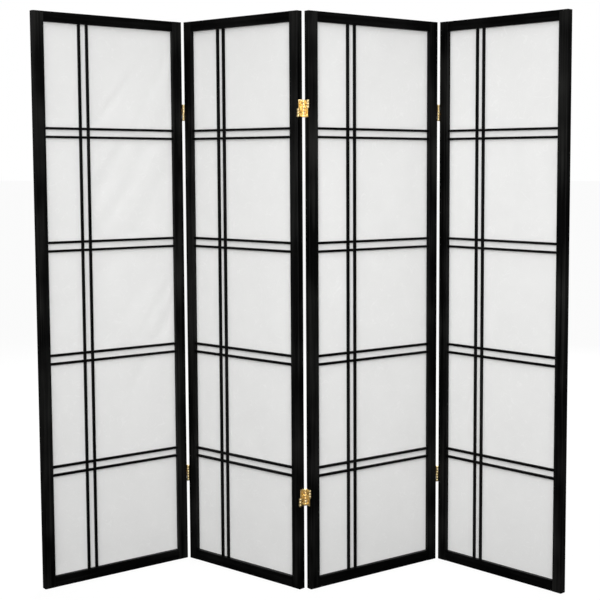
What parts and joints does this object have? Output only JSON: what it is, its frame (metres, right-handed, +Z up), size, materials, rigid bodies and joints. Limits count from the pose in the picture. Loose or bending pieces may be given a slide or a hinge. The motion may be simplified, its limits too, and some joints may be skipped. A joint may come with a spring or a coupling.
{
  "type": "folding shoji screen",
  "caption": "Free-standing folding room divider with black wooden lattice leaves, white paper and double-action brass hinges.",
  "frame": {"origin": "centre of the standing screen's bounding box at floor level", "axes": "+Z up, +X along the zigzag from the first leaf to the fourth, +Y towards the paper's back side; the lattice side faces -Y"},
  "size_m": [1.3932, 0.3216, 1.524],
  "materials": {
    "frame_wood": "black stain, satin",
    "lattice_wood": "black stain, satin",
    "strip_wood": "black stain, satin",
    "dowel_wood": "bare",
    "paper": "fibrous handmade paper, matte",
    "brass": "polished",
    "steel": "plain"
  },
  "bodies": {
    "leaf_1": {"left_stile_1": "frame_wood", "right_stile_1": "frame_wood", "top_rail_1": "frame_wood", "bottom_rail_1": "frame_wood", "uprights_1": "lattice_wood", "rungs_1": "lattice_wood", "paper_1": "paper", "back_strips_1": "strip_wood", "dowels_1": "dowel_wood", "brads_1": "steel", "hinge_pins_1": "steel", "hinge_screws_1": "brass", "hinge_12_plate_left": "brass", "hinge_12_link_top": "brass"},
    "leaf_2": {"left_stile_2": "frame_wood", "right_stile_2": "frame_wood", "top_rail_2": "frame_wood", "bottom_rail_2": "frame_wood", "uprights_2": "lattice_wood", "rungs_2": "lattice_wood", "paper_2": "paper", "back_strips_2": "strip_wood", "dowels_2": "dowel_wood", "brads_2": "steel", "hinge_pins_2": "steel", "hinge_screws_2": "brass", "hinge_12_plate_right": "brass", "hinge_12_link_bottom": "brass", "hinge_23_plate_left": "brass", "hinge_23_link_bottom": "brass"},
    "leaf_3": {"left_stile_3": "frame_wood", "right_stile_3": "frame_wood", "top_rail_3": "frame_wood", "bottom_rail_3": "frame_wood", "uprights_3": "lattice_wood", "rungs_3": "lattice_wood", "paper_3": "paper", "back_strips_3": "strip_wood", "dowels_3": "dowel_wood", "brads_3": "steel", "hinge_pins_3": "steel", "hinge_screws_3": "brass", "hinge_23_plate_right": "brass", "hinge_23_link_top": "brass", "hinge_34_plate_left": "brass", "hinge_34_link_top": "brass"},
    "leaf_4": {"left_stile_4": "frame_wood", "right_stile_4": "frame_wood", "top_rail_4": "frame_wood", "bottom_rail_4": "frame_wood", "uprights_4": "lattice_wood", "rungs_4": "lattice_wood", "paper_4": "paper", "back_strips_4": "strip_wood", "dowels_4": "dowel_wood", "brads_4": "steel", "hinge_pins_4": "steel", "hinge_screws_4": "brass", "hinge_34_plate_right": "brass", "hinge_34_link_bottom": "brass"}
  },
  "joints": [
    {"name": "fold_12", "type": "hinge", "parent": "leaf_1", "child": "leaf_2", "pos_m": [-0.35108, 0.13906, 0.75], "axis": [0, 0, -1], "range_deg": [-80, 98]},
    {"name": "fold_23", "type": "hinge", "parent": "leaf_2", "child": "leaf_3", "pos_m": [0.00734, -0.12544, 0.75], "axis": [0, 0, 1], "range_deg": [-78.5, 99.5]},
    {"name": "fold_34", "type": "hinge", "parent": "leaf_3", "child": "leaf_4", "pos_m": [0.36343, 0.14218, 0.75], "axis": [0, 0, -1], "range_deg": [-83, 95]}
  ]
}
